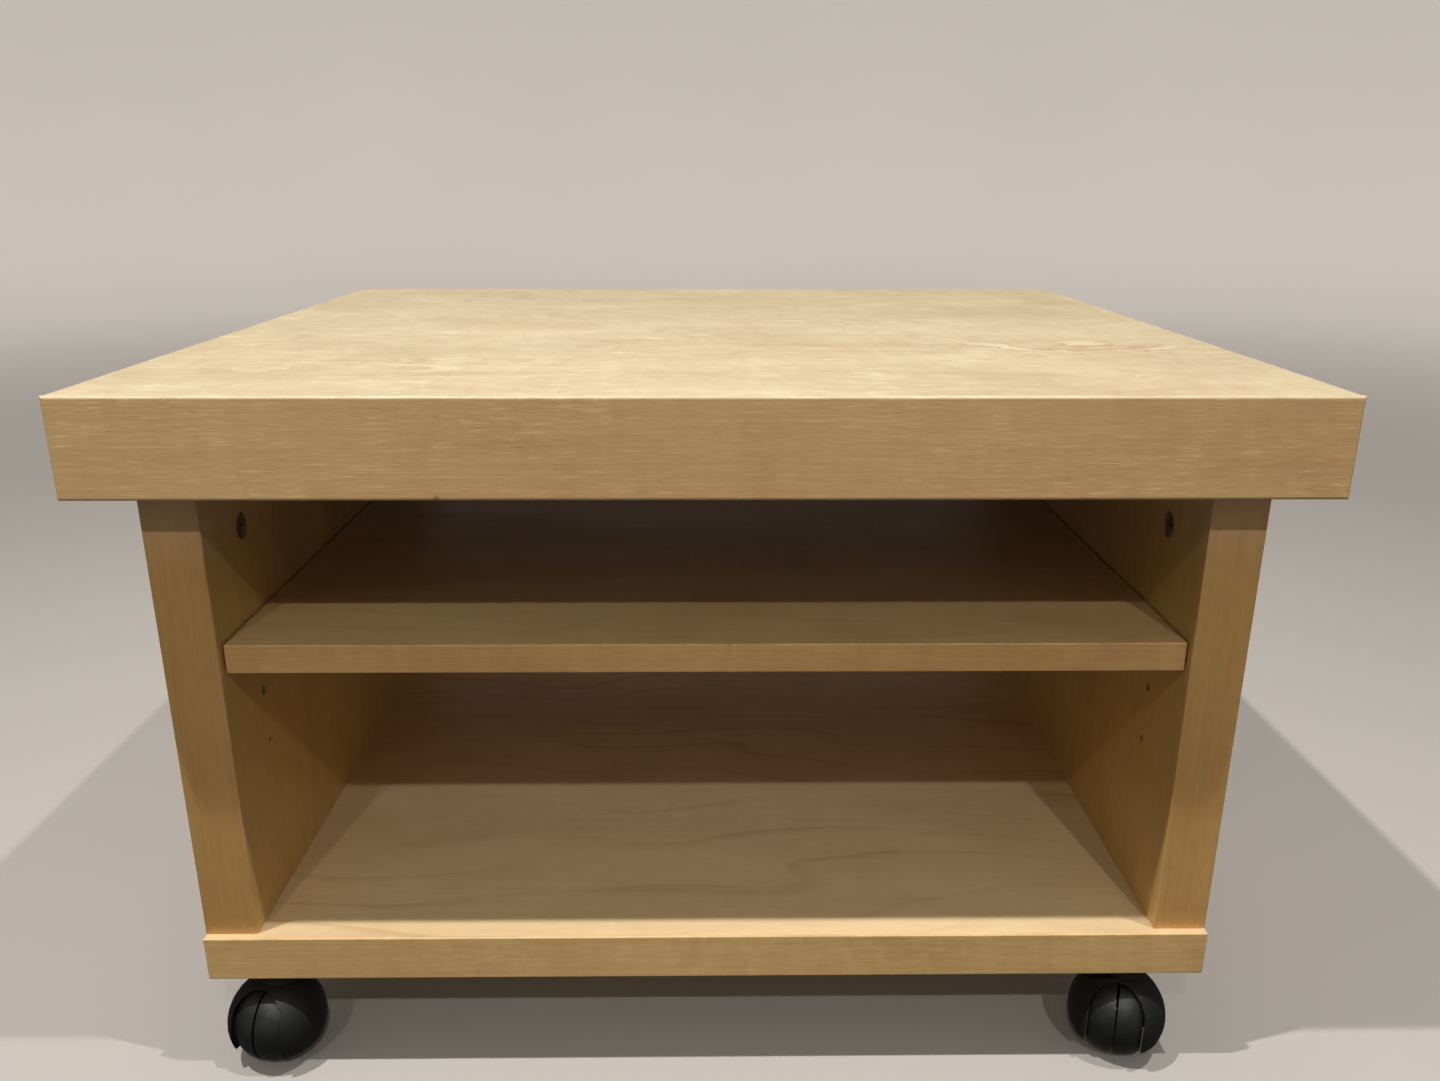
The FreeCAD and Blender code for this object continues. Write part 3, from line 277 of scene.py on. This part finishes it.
def wood(name, node_name, grain, seed, base, upper=None, upper_from=0.8, rings=0.2, fibre=0.3,
         flecks=0.2, pores=0.1, mottle=0.4, silk=0.15, streaks=0.2, glints=0.1, curls=(), wave=6.0,
         marks=()):
    """Lacquered birch: ring lines, long streaks, fine fibres, light flecks, pores and worn edges.

    The base colour turns into the upper one between upper_from, a part of the node's height, and
    its top. The amounts from rings to glints say how strongly each pattern shows, and wave how far
    the ring lines wander. Curls and marks are spots in the part's own coordinates."""
    graph = Graph(name)
    place = along_grain(graph, grain, seed)
    line = ring_lines(graph, place, wave)

    fine = grain_noise(graph, place, FINE_FIBRE)
    weighted = ((fine, fibre), (grain_noise(graph, place, COARSE_FIBRE), fibre * 0.5),
                (grain_noise(graph, place, LONG_STREAK), streaks),
                (grain_noise(graph, place, CLOUD), mottle),
                (grain_noise(graph, place, SILKY_RIPPLE), silk))
    patchy = graph.span(grain_noise(graph, place, PATCH), 0.40, 0.60, 0.35, 1.0)
    glint = graph.span(grain_noise(graph, place, GLINT), 0.50, 0.72)
    fleck = graph.span(grain_noise(graph, place, FLECK), 0.54, 0.70)
    aside = graph.vector("ADD", place, PORE_SHIFT)
    pore = graph.span(grain_noise(graph, aside, PORE), 0.60, 0.72)

    # From 0, the lighter wood, to 1, the darker.
    tone = graph.math("MULTIPLY_ADD", line, rings, 0.5)
    for pattern, amount in weighted:
        tone = graph.math("MULTIPLY_ADD", graph.math("SUBTRACT", pattern, 0.5), amount, tone)
    tone = graph.math("MULTIPLY_ADD", pore, pores, tone)
    if curls:
        tone = graph.math("ADD", tone, curly_figure(graph, curls))
    # Painted glints: the colour is made lighter where light would glint off the figure.
    tone = graph.math("MULTIPLY_ADD", graph.math("MULTIPLY", glint, patchy), -glints, tone)
    tone = graph.math("MULTIPLY_ADD", graph.math("MULTIPLY", fleck, patchy), -flecks, tone, clamp=True)
    light = shade(base, LIGHTER)
    dark = shade(base, DARKER)
    # On the side panels the upper colour is painted light: paler where the top's overhang shades them.
    if upper:
        low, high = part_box(node_name)
        start = low.z + upper_from * (high.z - low.z)
        rise = graph.span(graph.parts(graph.place)[2], start, high.z, smooth=True)
        light = graph.blend(rise, light, shade(upper, LIGHTER))
        dark = graph.blend(rise, dark, shade(upper, DARKER))
    color, worn = edge_wear(graph, node_name, graph.blend(tone, light, dark), marks)

    smears = graph.noise(graph.vector("MULTIPLY", graph.place, SMEARS), 1.0, 4.0, 0.6, 0.8)
    roughness = graph.span(smears, 0.3, 0.75, CLEAN_LACQUER, SMEARED_LACQUER)
    roughness = graph.math("MULTIPLY_ADD", graph.math("SUBTRACT", fine, 0.5), 0.10, roughness)
    relief = graph.math("SUBTRACT", graph.math("MULTIPLY", fine, 0.5), graph.math("MULTIPLY", pore, 0.6))
    relief = graph.math("SUBTRACT", relief, graph.math("MULTIPLY", worn, 0.8))
    return graph.finish(color, roughness, graph.bump(relief, GRAIN_RELIEF, 0.7),
                        Coat_Weight=0.10, Coat_Roughness=0.30, IOR=1.5)


# ---- chipboard, card, metal and plastic -------------------------------------------------------

# Colours of the chipboard's flakes and of the card's pulp, from dark to light.
CHIP_COLORS = (rgb(150, 118, 80), rgb(196, 164, 120))
BARK = rgb(104, 76, 48)
CARD_COLORS = (rgb(150, 112, 72), rgb(188, 150, 104))

# Features a metre: flakes, which are longest in X, their grit, pulp, the grain of metal and its
# dull patches.
FLAKES = 260.0
FLAKE_SHAPE = (1.0, 1.6, 1.6)
GRIT = 900.0
PULP = 600.0
METAL_GRAIN = 1600.0
METAL_PATCHES = 120.0

# Colour and roughness of each metal, and how much of its colour tarnish leaves.
CAST_ZINC = (rgb(150, 124, 96), 0.56)
ZINC_PLATE = (rgb(196, 194, 186), 0.30)
PRESSED_ZINC_PLATE = (rgb(178, 176, 170), 0.38)
NICKEL_PLATE = (rgb(188, 182, 172), 0.34)
TARNISH = (0.62, 0.62, 0.62)

# Of each plastic: its colour, its dust's, its roughness, how much dust there is and the features a
# metre of its moulded grain.
HOOD_PLASTIC = (rgb(12, 12, 10), rgb(60, 59, 49), 0.58, 0.12, 5200.0)
WHEEL_PLASTIC = (rgb(21, 22, 19), rgb(84, 84, 72), 0.40, 0.18, 3800.0)

# Features a metre of the dust, of the lint in it, which lies flat, and of upright scuffs.
DUST = 130.0
LINT = 900.0
LINT_SHAPE = (1.0, 1.0, 3.0)
SCUFFS = (300.0, 300.0, 60.0)

# Relief of these surfaces, in metres.
CHIPBOARD_RELIEF = 0.0003
CARD_RELIEF = 0.0001
METAL_RELIEF = 0.00004
MOULDED_RELIEF = 0.00005
DUST_RELIEF = 0.0001


def chipboard(name):
    """Raw particle board: packed flakes in several browns."""
    graph = Graph(name)
    flakes = graph.cells(graph.vector("MULTIPLY", graph.place, FLAKE_SHAPE), FLAKES)
    tint, kind, depth = graph.parts(flakes)
    color = graph.blend(tint, *CHIP_COLORS)
    color = graph.blend(graph.span(kind, 0.85, 0.95), color, BARK)
    grit = graph.noise(graph.place, GRIT, 3.0, 0.6)
    roughness = graph.span(grit, 0.2, 0.8, 0.72, 0.92)
    relief = graph.math("ADD", depth, grit)
    return graph.finish(color, roughness, graph.bump(relief, CHIPBOARD_RELIEF))


def card(name):
    """Brown kraft card."""
    graph = Graph(name)
    pulp = graph.noise(graph.place, PULP, 4.0, 0.65)
    roughness = graph.span(pulp, 0.2, 0.8, 0.78, 0.95)
    return graph.finish(graph.blend(pulp, *CARD_COLORS), roughness, graph.bump(pulp, CARD_RELIEF))


def metal(name, color, rough, metallic=1.0):
    """Plated or cast metal with fine grain, dull patches and light tarnish."""
    graph = Graph(name)
    grain = graph.noise(graph.place, METAL_GRAIN, 3.0, 0.6)
    patch = graph.noise(graph.place, METAL_PATCHES, 3.0, 0.6)
    tarnished = graph.blend(graph.span(patch, 0.35, 0.75), color, shade(color, TARNISH))
    roughness = graph.span(graph.math("ADD", grain, patch), 0.6, 1.5, rough - 0.08, rough + 0.16)
    return graph.finish(tarnished, roughness, graph.bump(grain, METAL_RELIEF, 0.6), Metallic=metallic)


def black_plastic(name, base, dust_color, rough, dust_amount, grain_size):
    """Moulded black plastic, dusty where it faces up, with scuffs and a fine moulded grain."""
    graph = Graph(name)
    texture = graph.noise(graph.place, grain_size, 2.0, 0.5)
    cloud = graph.noise(graph.place, DUST, 4.0, 0.62)
    lying = graph.vector("MULTIPLY", graph.place, LINT_SHAPE)
    lint = graph.span(graph.noise(lying, LINT, 2.0, 0.5), 0.62, 0.72)
    facing = graph.parts(graph.add("ShaderNodeNewGeometry").outputs["Normal"])[2]
    upward = graph.span(facing, -0.25, 0.9, 0.12, 1.0)
    settled = graph.math("MULTIPLY", upward, graph.span(cloud, 0.34, 0.72))
    dust = graph.math("MULTIPLY", settled, dust_amount)
    dust = graph.math("MULTIPLY_ADD", lint, 0.12, dust, clamp=True)
    color = graph.blend(dust, base, dust_color)
    upright = graph.vector("MULTIPLY", graph.place, SCUFFS)
    scuffs = graph.span(graph.noise(upright, 1.0, 3.0, 0.6), 0.55, 0.75, rough, rough + 0.2)
    roughness = graph.math("MULTIPLY_ADD", dust, 0.35, scuffs, clamp=True)
    moulded = graph.bump(texture, MOULDED_RELIEF, 0.6)
    normal = graph.bump(cloud, DUST_RELIEF, 0.35, under=moulded)
    return graph.finish(color, roughness, normal, IOR=1.5)


# ---- materials on the CAD nodes ---------------------------------------------------------------

# Colour of each group of boards. The top is palest and the panels are warmest, less so higher up, where
# the paler colour is painted light for the shade under the top. The left panel's darker and the right
# one's lighter tone are painted shade and light, for light that falls unevenly on the two sides.
TOP_WOOD = rgb(204, 184, 148)
LIPPING_WOOD = rgb(222, 181, 124)
LIPPING_UPPER_WOOD = shade(TOP_WOOD, (0.96, 0.98, 0.98))
BOARD_WOOD = rgb(225, 197, 150)
SHELF_WOOD = rgb(208, 175, 121)
PANEL_WOOD = rgb(208, 162, 96)
PANEL_UPPER_PAINTED_LIGHT = rgb(226, 184, 134)
# Left darker, right lighter: painted shade and light, for light that falls unevenly on the two sides.
PANEL_SIDE_PAINTED_LIGHT = {"left": (0.94, 0.92, 0.90), "right": (1.06, 1.05, 1.04)}
INNER_WOOD = rgb(206, 169, 100)
INNER_UPPER_PAINTED_LIGHT = rgb(216, 188, 142)
BAND_WOOD = rgb(231, 190, 127)
SHELF_BAND_WOOD = rgb(226, 178, 114)
DOWEL_WOOD = rgb(200, 156, 110)
DOWEL_SEED = 50

# Spots of curly figure on the top: parts of its width and of its depth, reach in metres, strength.
TOP_CURLS = ((0.84, 0.29, 0.12, 0.42), (0.82, 0.12, 0.08, 0.22), (0.22, 0.16, 0.14, 0.25),
             (0.45, 0.40, 0.13, 0.20))

# The knock on the lower edge of the top's front: part of its width, height above the edge, radius.
KNOCK_ACROSS = 0.291
KNOCK_UP = 0.0012
KNOCK_RADIUS = 0.0020


def dress(node_name, material):
    """Gives a CAD node one material."""
    data = NODES[node_name].data
    data.materials.clear()
    data.materials.append(material)


def top_curls():
    """Where the figure of the top's veneer curls, mostly near its right end."""
    low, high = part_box("top_upper_skin")
    width = high.x - low.x
    depth = high.y - low.y
    return tuple(((low.x + across * width, low.y + back * depth, high.z), reach, strength)
                 for across, back, reach, strength in TOP_CURLS)


def front_mark():
    """The small dark knock on the lower edge of the top's front."""
    low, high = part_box("top_front_lipping")
    return ((low.x + KNOCK_ACROSS * (high.x - low.x), low.y, low.z + KNOCK_UP), KNOCK_RADIUS)


def wood_looks():
    """The grain direction and figure of every board, lipping and band."""
    flat = dict(grain="x", base=BOARD_WOOD, rings=0.24, fibre=0.18, flecks=0.06, pores=0.08,
                mottle=0.78, silk=0.12, streaks=0.08, wave=7.0)
    top = dict(grain="x", base=TOP_WOOD, rings=0.08, fibre=0.28, flecks=0.20, pores=0.06, mottle=0.66,
               silk=0.46, streaks=0.20, glints=0.40, curls=top_curls())
    shelf = dict(flat, base=SHELF_WOOD, rings=0.14, silk=0.22)
    looks = {
        "top_upper_skin": top,
        "top_lower_skin": dict(flat, base=TOP_WOOD),
        "bottom_upper_veneer": flat,
        "bottom_lower_veneer": flat,
        "shelf_upper_veneer": shelf,
        "shelf_lower_veneer": shelf,
    }
    band = dict(base=BAND_WOOD, rings=0.04, fibre=0.52, flecks=0.24, pores=0.12, mottle=0.80, silk=0.50,
                streaks=0.20)
    lipping = dict(base=LIPPING_WOOD, upper=LIPPING_UPPER_WOOD, upper_from=0.95, rings=0.03, fibre=0.38,
                   flecks=0.46, pores=0.14, mottle=0.46, silk=0.32, streaks=0.16, glints=0.18)
    panel = dict(grain="z", rings=0.05, fibre=0.34, flecks=0.08, pores=0.08, mottle=0.52, silk=0.26,
                 streaks=0.24)
    for side in SIDES:
        # The side panels' upper colours are painted light, and their per-side tone is painted light and
        # shade.
        looks[f"{side}_side_inner_veneer"] = dict(panel, base=INNER_WOOD, upper=INNER_UPPER_PAINTED_LIGHT)
        tone = PANEL_SIDE_PAINTED_LIGHT[side]
        outer = dict(panel, base=shade(PANEL_WOOD, tone), upper=shade(PANEL_UPPER_PAINTED_LIGHT, tone))
        looks[f"{side}_side_outer_veneer"] = outer
        for end in ENDS:
            looks[f"{side}_side_{end}_band"] = outer
        looks[f"bottom_{side}_band"] = dict(band, grain="y")
        looks[f"top_{side}_lipping"] = dict(lipping, grain="y")
    for end in ENDS:
        looks[f"top_{end}_lipping"] = dict(lipping, grain="x")
        looks[f"bottom_{end}_band"] = dict(band, grain="x")
        looks[f"shelf_{end}_band"] = dict(band, grain="x", base=SHELF_BAND_WOOD)
    looks["top_front_lipping"]["marks"] = (front_mark(),)
    return looks


def dress_woods():
    """Every board, lipping and band gets a birch of its own."""
    for seed, (node_name, look) in enumerate(sorted(wood_looks().items()), start=1):
        dress(node_name, wood(f"birch_{node_name}", node_name, seed=seed, **look))


def dress_hidden():
    """Cores, honeycomb and fittings."""
    particle = chipboard("chipboard")
    cores = ["left_side_core", "right_side_core", "bottom_core", "shelf_core"]
    for node_name in cores + [f"top_{place}_rail" for place in ENDS + SIDES]:
        dress(node_name, particle)
    dress("top_honeycomb_core", card("honeycomb_card"))
    dress("dowels", wood("beech_dowel", "dowels", "z", DOWEL_SEED, DOWEL_WOOD))
    dress("cam_locks", metal("die_cast_zinc", *CAST_ZINC, metallic=0.3))
    plated = metal("zinc_plate", *ZINC_PLATE)
    for node_name in ["cam_bolts", "bottom_screws", "caster_kingpins", "caster_screws"]:
        dress(node_name, plated)
    dress("shelf_supports", metal("nickel_plate", *NICKEL_PLATE))


def dress_casters():
    """Zinc plates and axles, black hoods and slightly greyer wheels."""
    pressed = metal("pressed_zinc_plate", *PRESSED_ZINC_PLATE)
    hood = black_plastic("hood_plastic", *HOOD_PLASTIC)
    wheel = black_plastic("wheel_plastic", *WHEEL_PLASTIC)
    for corner in CORNERS:
        dress(f"{corner}_caster_plate", pressed)
        dress(f"{corner}_caster_axle", pressed)
        dress(f"{corner}_caster_hood", hood)
        for side in SIDES:
            dress(f"{corner}_wheel_{side}", wheel)


# ---- floor, light and camera -------------------------------------------------------------------

# The floor, in metres: radii of its flat rings, where it starts to bend up, the radius of the bend
# and the top of the wall. Then the steps of the bend and the faces all round.
FLAT_RINGS = (0.5, 1.2, 2.4)
FLAT_TO = 3.6
BEND = 1.5
WALL_TOP = 6.0
BEND_STEPS = 12
FACES_ROUND = 72

# Its colour, the darkest and lightest tone of that, and the distances in metres from the middle
# between which a glow of its own comes up to that strength, so that floor and wall meet unseen.
BACKDROP = rgb(190, 183, 175)
BACKDROP_TONES = ((0.97, 0.97, 0.97), (1.03, 1.03, 1.03))
GLOW_FROM = 0.9
GLOW_TO = 4.6
GLOW = 0.78

# Colour of the room's light, and its strength from the front, from the back, from a paler band of
# wall low down at the back, from the dark floor below and from high up.
ROOM_COLOR = rgb(236, 231, 224)
FRONT_LIGHT = 0.32
BACK_LIGHT = 0.04
WALL_LIGHT = 0.32
FLOOR_LIGHT = 0.10
SKY_LIGHT = 0.36

# Where one of these turns into the next, as parts of the direction in which the room is seen: from
# the floor to the room, into the band of wall and out of it, and up to the ceiling along Z, and
# from the front to the back along Y.
FLOOR_EDGE = (-0.08, 0.04)
BAND_START = (0.15, 0.20)
BAND_END = (0.26, 0.33)
CEILING_EDGE = (0.52, 0.80)
FRONT_TO_BACK = (-0.35, 0.35)

# The five lamps: power in watts, place in metres, which is the right one's for a pair, width and
# the point that they face.
NEAR_POWER = {"left": 21.5, "right": 13.5}
FAR_POWER = {"left": 9.0, "right": 15.0}
REAR_POWER = 8.0
NEAR_PLACE = (0.57, -0.461, 1.9)
FAR_PLACE = (0.66, -2.6, 2.6)
REAR_PLACE = (0.0, 1.6, 3.2)
NEAR_WIDTH = 0.03
FAR_WIDTH = 0.06
REAR_WIDTH = 0.8
LAMP_TARGET = Vector((0.0, -0.1, 0.3))

# The camera: sensor and lens in millimetres, place in metres beside the middle, before the top's
# front and above its underside, and angles in degrees.
SENSOR = 36.0
LENS = 28.38
CAMERA_ASIDE = -0.0007
CAMERA_BEFORE = 0.5072
CAMERA_ABOVE = 0.1438
YAW = math.radians(0.73)
PITCH = math.radians(-17.83)
ROLL = math.radians(0.13)


def floor_mesh():
    """A round floor that curves up all round into a wall."""
    profile = [(radius, 0.0) for radius in FLAT_RINGS]
    for step in range(BEND_STEPS + 1):
        turn = math.radians(90 * step / BEND_STEPS)
        profile.append((FLAT_TO + BEND * math.sin(turn), BEND * (1 - math.cos(turn))))
    profile.append((FLAT_TO + BEND, WALL_TOP))
    angles = [2 * math.pi * step / FACES_ROUND for step in range(FACES_ROUND)]
    shell = bmesh.new()
    centre = shell.verts.new((0.0, 0.0, 0.0))
    rings = []
    for radius, height in profile:
        rings.append([shell.verts.new((radius * math.cos(angle), radius * math.sin(angle), height))
                      for angle in angles])
    for step in range(FACES_ROUND):
        after = (step + 1) % FACES_ROUND
        shell.faces.new((centre, rings[0][step], rings[0][after]))
        for inner, outer in zip(rings, rings[1:]):
            shell.faces.new((inner[step], outer[step], outer[after], inner[after]))
    for face in shell.faces:
        face.smooth = True
    data = bpy.data.meshes.new("floor")
    shell.to_mesh(data)
    shell.free()
    return data


def floor_material():
    """Pale and matt, with a faint cloudiness."""
    graph = Graph("pale_floor")
    cloud = graph.noise(graph.place, 1.2, 3.0, 0.5)
    darkest, lightest = (shade(BACKDROP, tone) for tone in BACKDROP_TONES)
    color = graph.blend(cloud, darkest, lightest)
    distance = graph.vector("LENGTH", graph.place)
    glow = graph.span(distance, GLOW_FROM, GLOW_TO, 0.0, GLOW, smooth=True)
    return graph.finish(color, graph.span(cloud, 0.3, 0.7, 0.80, 0.90), None,
                        Emission_Color=color, Emission_Strength=glow)


def make_floor():
    """A plain pale floor and wall, well away from the bench.

    It is only seen, and throws no light or shadow back, so that the room's light stays as it is
    set above."""
    data = floor_mesh()
    data.materials.append(floor_material())
    floor = bpy.data.objects.new("floor", data)
    SCENE.collection.objects.link(floor)
    floor.visible_diffuse = False
    floor.visible_glossy = False
    floor.visible_transmission = False
    floor.visible_shadow = False


def make_world():
    """Soft light from the room in front and from above, and much less from behind and below."""
    world = bpy.data.worlds.new("studio")
    world.use_nodes = True
    nodes = world.node_tree.nodes
    links = world.node_tree.links
    background = nodes["Background"]
    background.inputs["Color"].default_value = ROOM_COLOR
    direction = nodes.new("ShaderNodeSeparateXYZ")
    links.new(nodes.new("ShaderNodeTexCoord").outputs["Generated"], direction.inputs[0])

    def step_between(axis, limits, at_low, at_high):
        """One strength up to the lower limit on an axis, and another from the upper limit on."""
        step = nodes.new("ShaderNodeMapRange")
        step.interpolation_type = "SMOOTHSTEP"
        for socket, value in zip(step.inputs[1:5], (*limits, at_low, at_high)):
            if hasattr(value, "links"):
                links.new(value, socket)
            else:
                socket.default_value = value
        links.new(direction.outputs[axis], step.inputs["Value"])
        return step.outputs[0]

    wall = step_between("Z", BAND_START, BACK_LIGHT, WALL_LIGHT)
    wall = step_between("Z", BAND_END, wall, BACK_LIGHT)
    room = step_between("Y", FRONT_TO_BACK, FRONT_LIGHT, wall)
    overhead = step_between("Z", CEILING_EDGE, room, SKY_LIGHT)
    links.new(step_between("Z", FLOOR_EDGE, FLOOR_LIGHT, overhead), background.inputs["Strength"])
    SCENE.world = world


def make_lamp(name, place, width, power):
    """A small square soft box high up that points at the bench."""
    data = bpy.data.lights.new(name, "AREA")
    data.shape = "SQUARE"
    data.size = width
    data.energy = power
    lamp = bpy.data.objects.new(name, data)
    lamp.location = place
    lamp.rotation_euler = (LAMP_TARGET - lamp.location).to_track_quat("-Z", "Y").to_euler()
    SCENE.collection.objects.link(lamp)


def make_lights():
    """Two lamps just in front of the bench, two well forward of it, and a soft one behind."""
    for side, sign in zip(SIDES, (-1, 1)):
        aside = Vector((sign, 1.0, 1.0))
        make_lamp(f"near_{side}", aside * Vector(NEAR_PLACE), NEAR_WIDTH, NEAR_POWER[side])
        make_lamp(f"far_{side}", aside * Vector(FAR_PLACE), FAR_WIDTH, FAR_POWER[side])
    make_lamp("rear", REAR_PLACE, REAR_WIDTH, REAR_POWER)


def make_camera():
    """At the photograph's angle: before the middle, a little above the top, tilted down."""
    data = bpy.data.cameras.new("camera")
    data.sensor_width = SENSOR
    data.lens = LENS
    camera = bpy.data.objects.new("camera", data)
    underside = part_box("top_lower_skin")[0].z
    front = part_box("top_front_lipping")[0].y
    camera.location = (CAMERA_ASIDE, front - CAMERA_BEFORE, underside + CAMERA_ABOVE)
    ahead = Vector((math.sin(YAW) * math.cos(PITCH), math.cos(YAW) * math.cos(PITCH), math.sin(PITCH)))
    turn = ahead.to_track_quat("-Z", "Y").to_matrix() @ Matrix.Rotation(ROLL, 3, "Z")
    camera.rotation_euler = turn.to_euler()
    SCENE.collection.objects.link(camera)
    SCENE.camera = camera


dress_woods()
dress_hidden()
dress_casters()
make_floor()
make_world()
make_lights()
make_camera()
SCENE.view_settings.view_transform = "Standard"
